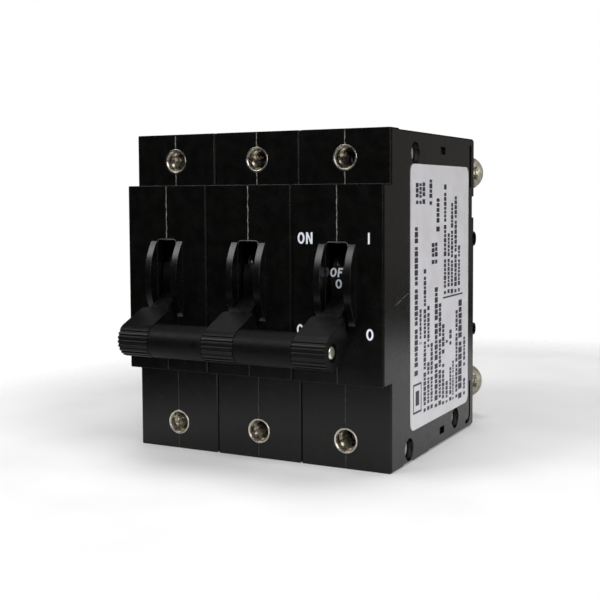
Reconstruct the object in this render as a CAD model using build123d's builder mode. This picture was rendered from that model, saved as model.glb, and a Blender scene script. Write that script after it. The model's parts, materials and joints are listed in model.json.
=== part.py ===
"""Three-pole hydraulic-magnetic circuit breaker with a tied rocker handle.

Row frame, millimetres: the origin is the middle of the front mounting inserts on the
front seating face. +X is to the right, +Y goes into the breaker, -Y comes out towards
the hand, +Z is up. Every pole is the same mechanism, repeated at the pole pitch.
"""
from build123d import *
from math import atan2, cos, degrees, hypot, radians, sin
import os

# ---- driving dimensions: casing -------------------------------------------------------
POLE_PITCH = 19.05
POLES = {1: -POLE_PITCH, 2: 0.0, 3: POLE_PITCH}
POLE_WIDTH = 18.95
HALF_WIDTH = POLE_WIDTH / 2
CASE_HEIGHT = 64.6
CASE_TOP = CASE_HEIGHT / 2
CASE_DEPTH = 47.8
BODY_STEP = 0.2
REAR_CORNER = 0.5
TOP_RIM_DEPTH = 4.0
BOTTOM_RIM_DEPTH = 6.0
FOOT = (11.3, 19.5)
BOSS_PROUD = 3.6
BOSS_Z = (-15.45, 21.9)
SIDE_WALL = 1.475
FRONT_WALL = 1.8
END_WALL = 2.15
CAVITY_X = HALF_WIDTH - SIDE_WALL
REAR_INNER = CASE_DEPTH - 2.0
BORDER_CHAMFER = 0.3
SEAM_CHAMFER = 0.1

# ---- panel inserts and through rivets -------------------------------------------------
INSERT_Z = 53.8 / 2
INSERT_R = 2.5
INSERT_BORE_R = 1.75
INSERT_LENGTH = 7.5
INSERT_BLOCK = (9.5, 22.3)
RIVET_PLACES = [(12.0, 27.9), (8.85, -29.5), (35.6, -28.4), (40.5, 15.8)]
RIVET_R = 1.2
RIVET_HEAD_R = 1.95
RIVET_HEAD_THICK = 0.8
RIVET_DIMPLE = (0.7, 0.45)
COUNTERBORE_R = 2.2
COUNTERBORE_DEPTH = 1.9
POST_R = 2.55

# ---- side face, as (y, z) ranges, and rear face ---------------------------------------
SIDE_POCKET_DEPTH = 1.0
SIDE_POCKETS = [((26.2, 29.1), (28.1, 29.6)), ((25.9, 28.7), (-30.1, -28.6)), ((44.6, 46.0), (21.4, 30.6))]
HOOK_GROOVE = [(45.3, -21.8), (45.3, -30.7), (42.4, -30.7)]
HOOK_GROOVE_WIDTH = 0.9
HOOK_GROOVE_R = 1.6
EXIT_HALF = 3.1
VENT_NOTCH_DEPTH = 0.5
VENT_NOTCH_Z = (14.7, 19.4)
VENT_SIDE_Y = 44.2
VENT_SIDE_DEPTH = 0.3
VENT_X = (1.2, 6.0)
VENT_Z = (15.6, 18.5)
RIBS = [((CASE_DEPTH + 0.1, 9.95), 1.6), ((CASE_DEPTH + 0.35, -10.4), 1.35)]
RIB_WALL = 0.3
RIB_RECESS = 0.7

# ---- handle, its slot and the curved hoods beside it ----------------------------------
HANDLE_AXIS = (6.5, 3.15)
OFF_ANGLE = 31.0
SLOT_HALF = 2.25
SLOT_REACH = 7.75
SLOT_LIP = 0.6
HOOD_X = (2.4, 3.8)
HOOD_R = 12.83
HOOD_AXIS_Y = 6.76
DRUM_R = 8.75
DRUM_HALF = 2.0
DRUM_SWEEP = 53.0
HUB_R = 3.4
NECK_HALF = 2.0
NECK = (-1.5, 2.0)
SHOULDER_U = 14.75
SHOULDER_CORNER_R = 0.9
PLATE_V = 2.4
GRIP_U = 22.0
GRIP_R = 3.35
GRIP_HALF = 3.4
GROOVE_R = 0.26
GROOVE_STEP = 15
GROOVES = range(-7, 5)
GROOVE_START = 5
SLEEVE_R = 3.3
ROD_R = 1.3
ROD_RECESS_R = 1.75
ROD_RECESS_DEPTH = 0.7

# ---- pins and running clearances ------------------------------------------------------
PIN_R = 1.0
RUN = 0.05
PIN_HALF = 8.9

# ---- contact arm and its link ---------------------------------------------------------
ARM_AXIS = (29.5, -1.0)
ARM_OPEN = 30.0
ARM_LENGTH = 17.0
ARM_HALF = 1.5
ARM_WIDTH = 3.4
CONTACT_RADIUS = 13.5
CONTACT_R = 2.25
CONTACT_THICK = 1.4
ARM_CRANK = 8.0
CRANK_PIN_R = 0.7
CRANK_PIN_HALF = 3.3
HANDLE_CRANK = 4.34
HANDLE_CRANK_ANGLE = 133.5
LOBE_R = 1.9
LINK_PIN_R = 0.8
LINK_X = (2.5, 3.3)
LINK_WIDTH = 3.2
LINK_EYE_R = 1.1

# ---- terminals ------------------------------------------------------------------------
LINE_Z = 24.8
LOAD_Z = -23.9
STRAP_THICK = 1.2
TAB_HALF_Z = 4.0
TAB_X = (-0.6, 8.0)
TAB_Y = (50.6, 51.8)
SCREW_X = 4.7
SCREW_R = 2.085
SCREW_HOLE_R = 2.13
SCREW_SEAT_Y = 57.3
SCREW_LENGTH = 8.0
SCREW_HEAD_R = 3.8
SCREW_HEAD_HIGH = 2.9
SCREW_SLOT_DEPTH = 1.2
SCREW_SLOT_HALF = 0.55
SCREW_CROSS_HALF = 2.2
WASHER_R = 3.85
WASHER_THICK = 0.5
WASHER_TEETH = 8
CONTACT_PLATE_Y = (34.1, 35.6)
CONTACT_PLATE_HALF = 3.0

# ---- arc chute ------------------------------------------------------------------------
ARC_PLATE_Y = [21.5, 23.5, 25.5, 27.5, 29.5, 31.5]
ARC_PLATE_THICK = 1.0
ARC_PLATE_HALF = 6.55
ARC_PLATE_Z = (15.2, 28.2)
ARC_NOTCH_HALF = 2.6
ARC_NOTCH_TOP = 19.5

# ---- magnet: coil, dashpot tube, frame, armature --------------------------------------
COIL_Y = 35.6
TUBE_R = 3.3
TUBE_WALL = 0.35
TUBE_Z = (-24.6, -8.4)
POLE_PIECE_R = 4.5
POLE_PIECE_TOP = -7.2
FLANGE_R = 7.3
SPOOL_R = 4.3
SPOOL_Z = (-23.2, -9.4)
FLANGE_THICK = 0.8
WIRE_R = 0.7
WIRE_RING_R = 5.15
WIRE_PITCH = 1.5
WIRE_TURNS = 7
FRAME_Y = (26.6, 27.8)
FRAME_HALF = 6.4
FRAME_BOTTOM = -24.6
ARMATURE_AXIS = (27.2, -6.4)
ARMATURE_LIFT = 9.0
ARMATURE_HALF = 5.0
ARMATURE_THICK = 1.2
ARMATURE_REAR = 12.8
STRIKER_REACH = 6.9
STRIKER_HALF = 2.5
TRUNNION_R = 0.6
EAR_X = (5.4, 6.4)
CORE_R = 2.6
CORE_Z = (-24.0, -16.5)
SPRING_WIRE_R = 0.2
SPRING_R = 2.1

# ---- common trip bar ------------------------------------------------------------------
TRIP_AXIS = (14.0, -9.5)
TRIP_R = 1.5
TRIP_HALF_LENGTH = 26.8
TRIP_LEVER_TIP = (19.3, -4.6)
TRIP_LEVER_HALF = 2.0

# ---- rating label ---------------------------------------------------------------------
LABEL_Y = (9.3, 43.6)
LABEL_Z = (-26.2, 25.8)
LABEL_CORNER_R = 1.8
LABEL_THICK = 0.12


def polar(axis, radius, angle):
    """Point at a radius and an angle (from +Y towards +Z) about an axis given as (y, z)."""
    return (axis[0] + radius * cos(radians(angle)), axis[1] + radius * sin(radians(angle)))


def block(x, y, z, mode=Mode.ADD):
    """Box between pairs of coordinates, added to or cut from the open part."""
    centre = ((x[0] + x[1]) / 2, (y[0] + y[1]) / 2, (z[0] + z[1]) / 2)
    with Locations(centre):
        Box(abs(x[1] - x[0]), abs(y[1] - y[0]), abs(z[1] - z[0]), mode=mode)


def cross_rod(x, axis, radius, mode=Mode.ADD):
    """Round bar along X between two coordinates, about an axis given as (y, z)."""
    with Locations(((x[0] + x[1]) / 2, axis[0], axis[1])):
        Cylinder(radius, abs(x[1] - x[0]), rotation=(0, 90, 0), mode=mode)


def depth_rod(x, z, y, radius, mode=Mode.ADD):
    """Round bar along Y between two depths, at one place on the front."""
    with Locations((x, (y[0] + y[1]) / 2, z)):
        Cylinder(radius, abs(y[1] - y[0]), rotation=(90, 0, 0), mode=mode)


def side_plate(x, start, end, width, mode=Mode.ADD):
    """Round-ended flat bar in a YZ plane from one (y, z) point to another."""
    low = min(x)
    run = end[0] - start[0]
    rise = end[1] - start[1]
    middle = ((start[0] + end[0]) / 2, (start[1] + end[1]) / 2, 0)
    with BuildSketch(Plane.YZ.offset(low)) as outline:
        with Locations(Location(middle, (0, 0, degrees(atan2(rise, run))))):
            SlotCenterToCenter(hypot(run, rise), width)
    extrude(outline.sketch, amount=max(x) - low, mode=mode)


def save(name, builder):
    """Label a finished sub-part and write its STEP file."""
    builder.part.label = name
    export_step(builder.part, f"parts/{name}.step")


def case_profile():
    """Side outline of a pole: seating face, raised boss, thin rims and the foot."""
    low = -CASE_TOP + BODY_STEP
    rear = CASE_DEPTH - REAR_CORNER
    return [
        (0, -CASE_TOP), (BOTTOM_RIM_DEPTH, -CASE_TOP), (BOTTOM_RIM_DEPTH + 0.4, low),
        (FOOT[0], low), (FOOT[0] + 0.3, -CASE_TOP), (FOOT[1], -CASE_TOP), (FOOT[1] + 0.6, low),
        (rear, low), (CASE_DEPTH, low + REAR_CORNER),
        (CASE_DEPTH, -low - REAR_CORNER), (rear, -low),
        (TOP_RIM_DEPTH + 0.4, CASE_TOP - BODY_STEP), (TOP_RIM_DEPTH, CASE_TOP), (0, CASE_TOP),
        (0, BOSS_Z[1]), (-BOSS_PROUD, BOSS_Z[1]), (-BOSS_PROUD, BOSS_Z[0]), (0, BOSS_Z[0]),
    ]


def cavity_profile():
    """Hollow behind the walls, stepped round the two blocks that hold the inserts."""
    top = CASE_TOP - END_WALL
    deep, shoulder = INSERT_BLOCK
    boss_low = BOSS_Z[0] + FRONT_WALL
    boss_high = BOSS_Z[1] - FRONT_WALL
    return [
        (deep, top), (REAR_INNER, top), (REAR_INNER, -top), (deep, -top),
        (deep, -shoulder), (FRONT_WALL, -shoulder), (FRONT_WALL, boss_low),
        (FRONT_WALL - BOSS_PROUD, boss_low), (FRONT_WALL - BOSS_PROUD, boss_high),
        (FRONT_WALL, boss_high), (FRONT_WALL, shoulder), (deep, shoulder),
    ]


def case_half(name, pole_x, side, trip_hole):
    """One moulded half of a pole, from the seam plane out to its side face."""
    face = pole_x + side * HALF_WIDTH
    inner = pole_x + side * CAVITY_X
    seam = Plane.YZ.offset(pole_x)
    with BuildPart() as half:
        with BuildSketch(seam):
            Polygon(*case_profile(), align=None)
        extrude(amount=side * HALF_WIDTH)
        chamfer(half.faces().filter_by(Axis.X).sort_by(Axis.X)[0].edges(),
                BORDER_CHAMFER if side < 0 else SEAM_CHAMFER)
        chamfer(half.faces().filter_by(Axis.X).sort_by(Axis.X)[-1].edges(),
                BORDER_CHAMFER if side > 0 else SEAM_CHAMFER)
        with BuildSketch(seam):
            Polygon(*cavity_profile(), align=None)
        extrude(amount=side * CAVITY_X, mode=Mode.SUBTRACT)
        add_hood(pole_x, side)
        cut_handle_slot(pole_x, side)
        add_rivet_posts(pole_x, side)
        cut_insert_seats(pole_x, side)
        cut_side_details(face, side)
        cut_rear_openings(pole_x, side)
        add_rear_ribs(pole_x, side)
        for axis in (HANDLE_AXIS, ARM_AXIS):
            cross_rod((inner, pole_x + side * (PIN_HALF + RUN)), axis, PIN_R + 0.03, Mode.SUBTRACT)
        if trip_hole:
            cross_rod((inner - side, face + side), TRIP_AXIS, TRIP_R + 0.06, Mode.SUBTRACT)
    save(name, half)


def add_hood(pole_x, side):
    """Curved cheek that stands out of the boss beside the handle slot."""
    low = min(pole_x + side * HOOD_X[0], pole_x + side * HOOD_X[1])
    with BuildSketch(Plane.YZ.offset(low)) as cheek:
        with Locations((HOOD_AXIS_Y, HANDLE_AXIS[1])):
            Circle(HOOD_R)
        with Locations((-BOSS_PROUD + 0.4 + HOOD_R, HANDLE_AXIS[1])):
            Rectangle(2 * HOOD_R, 3 * HOOD_R, mode=Mode.SUBTRACT)
    extrude(cheek.sketch, amount=HOOD_X[1] - HOOD_X[0])


def cut_handle_slot(pole_x, side):
    """Half of the slot that the handle swings in, with a sloped lip at each end."""
    reach = (HANDLE_AXIS[1] - SLOT_REACH, HANDLE_AXIS[1] + SLOT_REACH)
    width = (pole_x - side, pole_x + side * SLOT_HALF)
    block(width, (-BOSS_PROUD - 5, FRONT_WALL - BOSS_PROUD + 0.2), reach, Mode.SUBTRACT)
    with BuildSketch(Plane.YZ.offset(min(width))) as lips:
        for end, outward in zip(reach, (-1, 1)):
            front = -BOSS_PROUD
            Polygon((front - 1, end + outward * 2 * SLOT_LIP), (front, end + outward * SLOT_LIP),
                    (front + SLOT_LIP, end), (front - 1, end), align=None)
    extrude(lips.sketch, amount=abs(width[1] - width[0]), mode=Mode.SUBTRACT)


def add_rivet_posts(pole_x, side):
    """Posts that carry the through rivets across the hollow."""
    inner = pole_x + side * (CAVITY_X + 0.5)
    for place in RIVET_PLACES:
        cross_rod((pole_x, inner), place, POST_R)
    for place in RIVET_PLACES:
        cross_rod((pole_x - side, pole_x + side * 12), place, RIVET_R + RUN, Mode.SUBTRACT)


def cut_insert_seats(pole_x, side):
    """Half of each round seat that an insert is moulded into, on the seam plane."""
    for z in (INSERT_Z, -INSERT_Z):
        depth_rod(pole_x, z, (-1, INSERT_LENGTH), INSERT_R, Mode.SUBTRACT)
        depth_rod(pole_x, z, (INSERT_LENGTH, INSERT_LENGTH + 1.2), INSERT_BORE_R, Mode.SUBTRACT)


def cut_side_details(face, side):
    """Counterbores, moulding pockets, rear slot and hooked groove in the side face."""
    deep = (face - side * COUNTERBORE_DEPTH, face + side)
    for place in RIVET_PLACES:
        cross_rod(deep, place, COUNTERBORE_R, Mode.SUBTRACT)
    shallow = (face - side * SIDE_POCKET_DEPTH, face + side)
    for y, z in SIDE_POCKETS:
        block(shallow, y, z, Mode.SUBTRACT)
    with BuildSketch(Plane.YZ.offset(min(shallow))) as groove:
        with BuildLine():
            FilletPolyline(*HOOK_GROOVE, radius=HOOK_GROOVE_R)
        trace(line_width=HOOK_GROOVE_WIDTH)
    extrude(groove.sketch, amount=1 + SIDE_POCKET_DEPTH, mode=Mode.SUBTRACT)


def cut_rear_openings(pole_x, side):
    """Half of each terminal exit, the vent notch, its step in the side face and its hole."""
    seam_side = (pole_x - side, pole_x + side * (STRAP_THICK / 2 + RUN))
    for z in (LINE_Z, LOAD_Z):
        block(seam_side, (REAR_INNER - 1, CASE_DEPTH + 1), (z - EXIT_HALF, z + EXIT_HALF), Mode.SUBTRACT)
    notch = (pole_x - side, pole_x + side * 12)
    block(notch, (CASE_DEPTH - VENT_NOTCH_DEPTH, CASE_DEPTH + 1), VENT_NOTCH_Z, Mode.SUBTRACT)
    beside = (pole_x + side * (HALF_WIDTH - VENT_SIDE_DEPTH), pole_x + side * 12)
    block(beside, (VENT_SIDE_Y, CASE_DEPTH + 1), VENT_NOTCH_Z, Mode.SUBTRACT)
    vent = (pole_x + side * VENT_X[0], pole_x + side * VENT_X[1])
    block(vent, (REAR_INNER - 1, CASE_DEPTH + 1), VENT_Z, Mode.SUBTRACT)


def add_rear_ribs(pole_x, side):
    """Two rounded ribs across the back, hollow at the side face, that keep wires apart."""
    face = pole_x + side * HALF_WIDTH
    for centre, radius in RIBS:
        cross_rod((pole_x + side * 0.3, face), centre, radius)
        cross_rod((face - side * RIB_RECESS, face + side), centre, radius - RIB_WALL, Mode.SUBTRACT)


def handle_plane(pole_x):
    """Plane of a handle at rest: local X runs out along the handle, local Y is its upper side."""
    out = (0, -cos(radians(OFF_ANGLE)), -sin(radians(OFF_ANGLE)))
    return Plane(origin=(pole_x, HANDLE_AXIS[0], HANDLE_AXIS[1]), x_dir=out, z_dir=(-1, 0, 0))


def handle(name, pole_x, end_side):
    """Rocker handle: drum in the slot, neck, shouldered plate and ribbed grip."""
    plane = handle_plane(pole_x)
    reach = 3 * DRUM_R
    sector = [(0, 0)]
    for angle in (DRUM_SWEEP, 0, -DRUM_SWEEP):
        sector.append((reach * cos(radians(angle)), reach * sin(radians(angle))))
    crank = polar(HANDLE_AXIS, HANDLE_CRANK, HANDLE_CRANK_ANGLE)
    with BuildPart() as lever:
        with BuildSketch(plane):
            Circle(DRUM_R)
            Polygon(*sector, align=None, mode=Mode.INTERSECT)
            Circle(HUB_R)
        extrude(amount=DRUM_HALF, both=True)
        side_plate((pole_x - DRUM_HALF, pole_x + DRUM_HALF), HANDLE_AXIS, crank, 2 * LOBE_R)
        with BuildSketch(plane):
            with Locations(((DRUM_R - 2 + SHOULDER_U + 1) / 2, (NECK[0] + NECK[1]) / 2)):
                Rectangle(SHOULDER_U - DRUM_R + 3, NECK[1] - NECK[0])
        extrude(amount=NECK_HALF, both=True)
        with BuildSketch(plane):
            Polygon((SHOULDER_U, -PLATE_V), (SHOULDER_U, PLATE_V), (GRIP_U, GRIP_R),
                    (GRIP_U, -GRIP_R), align=None)
        extrude(amount=GRIP_HALF, both=True)
        corners = lever.edges().filter_by(
            lambda e: abs(plane.to_local_coords(e.center()).X - SHOULDER_U) < 0.01
            and abs(abs(e.center().X - pole_x) - GRIP_HALF) < 0.01)
        fillet(corners, SHOULDER_CORNER_R)
        with BuildSketch(plane):
            with Locations((GRIP_U, 0)):
                Circle(GRIP_R)
        extrude(amount=GRIP_HALF, both=True)
        with BuildSketch(plane):
            for step in GROOVES:
                angle = radians(step * GROOVE_STEP + GROOVE_START)
                with Locations((GRIP_U + GRIP_R * cos(angle), GRIP_R * sin(angle))):
                    Circle(GROOVE_R)
        extrude(amount=GRIP_HALF, both=True, mode=Mode.SUBTRACT)
        width = (pole_x - 5, pole_x + 5)
        grip = polar(HANDLE_AXIS, GRIP_U, 180 + OFF_ANGLE)
        cross_rod(width, HANDLE_AXIS, PIN_R + RUN, Mode.SUBTRACT)
        cross_rod(width, crank, LINK_PIN_R + RUN, Mode.SUBTRACT)
        cross_rod(width, grip, ROD_R + RUN, Mode.SUBTRACT)
        if end_side:
            end = pole_x + end_side * GRIP_HALF
            recess = (end - end_side * ROD_RECESS_DEPTH, end + end_side)
            cross_rod(recess, grip, ROD_RECESS_R, Mode.SUBTRACT)
    save(name, lever)


def tie_sleeves():
    """Plain spacer sleeves on the rod between the three grips."""
    grip = polar(HANDLE_AXIS, GRIP_U, 180 + OFF_ANGLE)
    with BuildPart() as sleeves:
        for middle in (-POLE_PITCH / 2, POLE_PITCH / 2):
            half = POLE_PITCH / 2 - GRIP_HALF - RUN
            cross_rod((middle - half, middle + half), grip, SLEEVE_R)
        chamfer(sleeves.edges().filter_by(GeomType.CIRCLE), 0.15)
        for middle in (-POLE_PITCH / 2, POLE_PITCH / 2):
            cross_rod((middle - 8, middle + 8), grip, ROD_R + RUN, Mode.SUBTRACT)
    save("tie_sleeves", sleeves)


def tie_rod():
    """Steel rod that ties the three grips, with domed ends."""
    grip = polar(HANDLE_AXIS, GRIP_U, 180 + OFF_ANGLE)
    end = POLE_PITCH + GRIP_HALF - 0.1
    with BuildPart() as rod:
        cross_rod((-end, end), grip, ROD_R)
        fillet(rod.edges().filter_by(GeomType.CIRCLE), 0.6)
    save("tie_rod", rod)


def link(name, pole_x):
    """Pair of side plates on one cross pin, from the handle's crank to the contact arm."""
    start = polar(HANDLE_AXIS, HANDLE_CRANK, HANDLE_CRANK_ANGLE)
    end = polar(ARM_AXIS, ARM_CRANK, 90 + ARM_OPEN)
    with BuildPart() as bars:
        for side in (-1, 1):
            plate = (pole_x + side * LINK_X[0], pole_x + side * LINK_X[1])
            side_plate(plate, start, end, LINK_WIDTH)
            cross_rod((plate[0] - side, plate[1] + side), end, LINK_EYE_R, Mode.SUBTRACT)
        cross_rod((pole_x - LINK_X[1], pole_x + LINK_X[1]), start, LINK_PIN_R)
    save(name, bars)


def contact_arm(name, pole_x):
    """Copper contact arm, leaning forward in the open position, with its crank pin."""
    angle = 90 + ARM_OPEN
    with BuildPart() as arm:
        tip = polar(ARM_AXIS, ARM_LENGTH - ARM_WIDTH / 2, angle)
        side_plate((pole_x - ARM_HALF, pole_x + ARM_HALF), ARM_AXIS, tip, ARM_WIDTH)
        cross_rod((pole_x - ARM_HALF, pole_x + ARM_HALF), ARM_AXIS, 2.3)
        cross_rod((pole_x - CRANK_PIN_HALF, pole_x + CRANK_PIN_HALF),
                  polar(ARM_AXIS, ARM_CRANK, angle), CRANK_PIN_R)
        cross_rod((pole_x - 3, pole_x + 3), ARM_AXIS, PIN_R + RUN, Mode.SUBTRACT)
    save(name, arm)


def moving_contact(name, pole_x):
    """Silver contact button on the rear of the arm."""
    angle = 90 + ARM_OPEN
    centre = polar(ARM_AXIS, CONTACT_RADIUS, angle)
    outward = (0, cos(radians(angle - 90)), sin(radians(angle - 90)))
    face = Plane(origin=(pole_x, centre[0], centre[1]), x_dir=(1, 0, 0), z_dir=outward)
    with BuildPart() as button:
        with BuildSketch(face.offset(ARM_WIDTH / 2)):
            Circle(CONTACT_R)
        extrude(amount=CONTACT_THICK)
        chamfer(button.faces().sort_by(Axis.Y)[-1].edges(), 0.25)
    save(name, button)


def fixed_contacts():
    """Silver contact buttons on the line terminals."""
    z = ARM_AXIS[1] + CONTACT_RADIUS
    with BuildPart() as buttons:
        for x in POLES.values():
            depth_rod(x, z, (CONTACT_PLATE_Y[0] - CONTACT_THICK, CONTACT_PLATE_Y[0]), CONTACT_R)
    save("fixed_contacts", buttons)


def terminal_tab(pole_x, z):
    """Rear tab of a terminal strap, turned to the right, with its tapped hole."""
    block((pole_x + TAB_X[0], pole_x + TAB_X[1]), TAB_Y, (z - TAB_HALF_Z, z + TAB_HALF_Z))
    depth_rod(pole_x + SCREW_X, z, (TAB_Y[0] - 1, TAB_Y[1] + 1), SCREW_HOLE_R, Mode.SUBTRACT)


def line_terminal(name, pole_x):
    """Upper terminal: rear tab, strap through the back wall and fixed contact plate."""
    thick = (pole_x - STRAP_THICK / 2, pole_x + STRAP_THICK / 2)
    plate = (pole_x - CONTACT_PLATE_HALF, pole_x + CONTACT_PLATE_HALF)
    with BuildPart() as strap:
        terminal_tab(pole_x, LINE_Z)
        block(thick, (CONTACT_PLATE_Y[0], TAB_Y[1]), (LINE_Z - 3, LINE_Z + 3))
        block(plate, CONTACT_PLATE_Y, (8.0, LINE_Z + 3))
    save(name, strap)


def load_terminal(name, pole_x):
    """Lower terminal: rear tab and a short strap to the coil."""
    thick = (pole_x - STRAP_THICK / 2, pole_x + STRAP_THICK / 2)
    with BuildPart() as strap:
        terminal_tab(pole_x, LOAD_Z)
        block(thick, (COIL_Y + FLANGE_R + 0.5, TAB_Y[1]), (LOAD_Z - 3, LOAD_Z + 3))
    save(name, strap)


def terminal_places():
    """Centres (x, z) of the six terminal screws."""
    return [(x + SCREW_X, z) for x in POLES.values() for z in (LINE_Z, LOAD_Z)]


def terminal_screws():
    """Round-head slotted screws, backed out of the tabs as delivered."""
    dome_r = (SCREW_HEAD_R ** 2 + SCREW_HEAD_HIGH ** 2) / (2 * SCREW_HEAD_HIGH)
    with BuildPart() as screws:
        for x, z in terminal_places():
            with BuildSketch(Plane(origin=(x, SCREW_SEAT_Y, z), x_dir=(1, 0, 0), z_dir=(0, 0, 1))):
                with Locations((0, SCREW_HEAD_HIGH - dome_r)):
                    Circle(dome_r)
                with Locations((SCREW_HEAD_R, SCREW_HEAD_HIGH / 2)):
                    Rectangle(2 * SCREW_HEAD_R, SCREW_HEAD_HIGH, mode=Mode.INTERSECT)
            revolve(axis=Axis((x, 0, z), (0, 1, 0)))
            depth_rod(x, z, (SCREW_SEAT_Y - SCREW_LENGTH, SCREW_SEAT_Y + 0.5), SCREW_R)
            top = SCREW_SEAT_Y + SCREW_HEAD_HIGH
            depth = (top - SCREW_SLOT_DEPTH, top + 1)
            across = (z - SCREW_SLOT_HALF, z + SCREW_SLOT_HALF)
            block((x - SCREW_HEAD_R, x + SCREW_HEAD_R), depth, across, Mode.SUBTRACT)
            upright = (x - SCREW_SLOT_HALF, x + SCREW_SLOT_HALF)
            block(upright, depth, (z - SCREW_CROSS_HALF, z + SCREW_CROSS_HALF), Mode.SUBTRACT)
    save("terminal_screws", screws)


def lock_washers():
    """Internal-tooth lock washers held under the screw heads."""
    back = SCREW_SEAT_Y - RUN
    with BuildPart() as washers:
        for x, z in terminal_places():
            with BuildSketch(Plane(origin=(x, back, z), x_dir=(1, 0, 0), z_dir=(0, -1, 0))):
                Circle(WASHER_R)
                Circle(WASHER_R - 1.0, mode=Mode.SUBTRACT)
                with PolarLocations((WASHER_R - 0.9 + SCREW_R) / 2 + 0.1, WASHER_TEETH):
                    Rectangle(WASHER_R - 0.9 - SCREW_R, 1.0)
            extrude(amount=WASHER_THICK)
    save("lock_washers", washers)


def arc_plates():
    """Steel arc plates with a notch that the contact arm passes through."""
    with BuildPart() as plates:
        for x in POLES.values():
            for y in ARC_PLATE_Y:
                thick = (y - ARC_PLATE_THICK / 2, y + ARC_PLATE_THICK / 2)
                block((x - ARC_PLATE_HALF, x + ARC_PLATE_HALF), thick, ARC_PLATE_Z)
                notch = (x - ARC_NOTCH_HALF, x + ARC_NOTCH_HALF)
                block(notch, thick, (ARC_PLATE_Z[0], ARC_NOTCH_TOP), Mode.SUBTRACT)
    save("arc_plates", plates)


def arc_chute_sides():
    """Fibre side sheets that hold the arc plates."""
    with BuildPart() as sheets:
        for x in POLES.values():
            for side in (-1, 1):
                thick = (x + side * (ARC_PLATE_HALF + 0.05), x + side * (ARC_PLATE_HALF + 1.05))
                block(thick, (20.2, 33.0), (14.8, 28.6))
    save("arc_chute_sides", sheets)


def panel_inserts():
    """Six brass inserts, flush with the seating face, bored for the panel screws."""
    with BuildPart() as inserts:
        for x in POLES.values():
            for z in (INSERT_Z, -INSERT_Z):
                depth_rod(x, z, (0, INSERT_LENGTH), INSERT_R)
                depth_rod(x, z, (-1, INSERT_LENGTH + 1), INSERT_BORE_R, Mode.SUBTRACT)
    save("panel_inserts", inserts)


def pivot_pins():
    """Steel pins for the handles and the contact arms, held in the side walls."""
    with BuildPart() as pins:
        for x in POLES.values():
            for axis in (HANDLE_AXIS, ARM_AXIS):
                cross_rod((x - PIN_HALF, x + PIN_HALF), axis, PIN_R)
    save("pivot_pins", pins)


def through_rivets():
    """Long rivets that clamp the three poles, with a formed head at each end."""
    outer = POLE_PITCH + HALF_WIDTH - COUNTERBORE_DEPTH
    with BuildPart() as rivets:
        for place in RIVET_PLACES:
            cross_rod((-outer, outer), place, RIVET_R)
            for side in (-1, 1):
                cross_rod((side * outer, side * (outer + RIVET_HEAD_THICK)), place, RIVET_HEAD_R)
        rims = rivets.edges().filter_by(GeomType.CIRCLE)
        rims = rims.filter_by(lambda e: abs(abs(e.center().X) - outer - RIVET_HEAD_THICK) < 0.01)
        fillet(rims, 0.5)
        for place in RIVET_PLACES:
            for side in (-1, 1):
                end = side * (outer + RIVET_HEAD_THICK)
                dimple_r, dimple_deep = RIVET_DIMPLE
                cross_rod((end - side * dimple_deep, end + side), place, dimple_r, Mode.SUBTRACT)
    save("through_rivets", rivets)


def dashpot_tube(name, pole_x):
    """Sealed tube that holds the delay oil, closed at the bottom."""
    low, high = TUBE_Z
    with BuildPart() as tube:
        with BuildSketch(Plane.XY.offset(low)):
            with Locations((pole_x, COIL_Y)):
                Circle(TUBE_R)
        extrude(amount=high - low)
        with BuildSketch(Plane.XY.offset(low + TUBE_WALL)):
            with Locations((pole_x, COIL_Y)):
                Circle(TUBE_R - TUBE_WALL)
        extrude(amount=high - low, mode=Mode.SUBTRACT)
    save(name, tube)


def pole_pieces():
    """Steel caps on the tubes, which the armatures are drawn down to."""
    with BuildPart() as caps:
        for x in POLES.values():
            with BuildSketch(Plane.XY.offset(TUBE_Z[1])):
                with Locations((x, COIL_Y)):
                    Circle(POLE_PIECE_R)
            extrude(amount=POLE_PIECE_TOP - TUBE_Z[1])
    save("pole_pieces", caps)


def core(name, pole_x):
    """Iron core that rises through the oil on an overload."""
    with BuildPart() as plunger:
        with BuildSketch(Plane.XY.offset(CORE_Z[0])):
            with Locations((pole_x, COIL_Y)):
                Circle(CORE_R)
        extrude(amount=CORE_Z[1] - CORE_Z[0])
        chamfer(plunger.edges().filter_by(GeomType.CIRCLE), 0.3)
    save(name, plunger)


def core_spring(name, pole_x):
    """Compression spring between the core and the pole piece."""
    low = CORE_Z[1] + SPRING_WIRE_R + 0.02
    high = TUBE_Z[1] - SPRING_WIRE_R - 0.02
    with BuildPart() as spring:
        with BuildLine() as wire:
            Helix((high - low) / 6, high - low, SPRING_R, center=(pole_x, COIL_Y, low))
        with BuildSketch(Plane(origin=wire.line @ 0, z_dir=wire.line % 0)):
            Circle(SPRING_WIRE_R)
        sweep(path=wire.line, is_frenet=True)
    save(name, spring)


def bobbin(name, pole_x):
    """Moulded spool round the tube, with two flanges."""
    low, high = SPOOL_Z
    with BuildPart() as spool:
        for base, radius, tall in ((low, SPOOL_R, high - low), (low, FLANGE_R, FLANGE_THICK),
                                   (high - FLANGE_THICK, FLANGE_R, FLANGE_THICK)):
            with BuildSketch(Plane.XY.offset(base)):
                with Locations((pole_x, COIL_Y)):
                    Circle(radius)
            extrude(amount=tall)
        with BuildSketch(Plane.XY.offset(low - 1)):
            with Locations((pole_x, COIL_Y)):
                Circle(TUBE_R + RUN)
        extrude(amount=high - low + 2, mode=Mode.SUBTRACT)
    save(name, spool)


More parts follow.
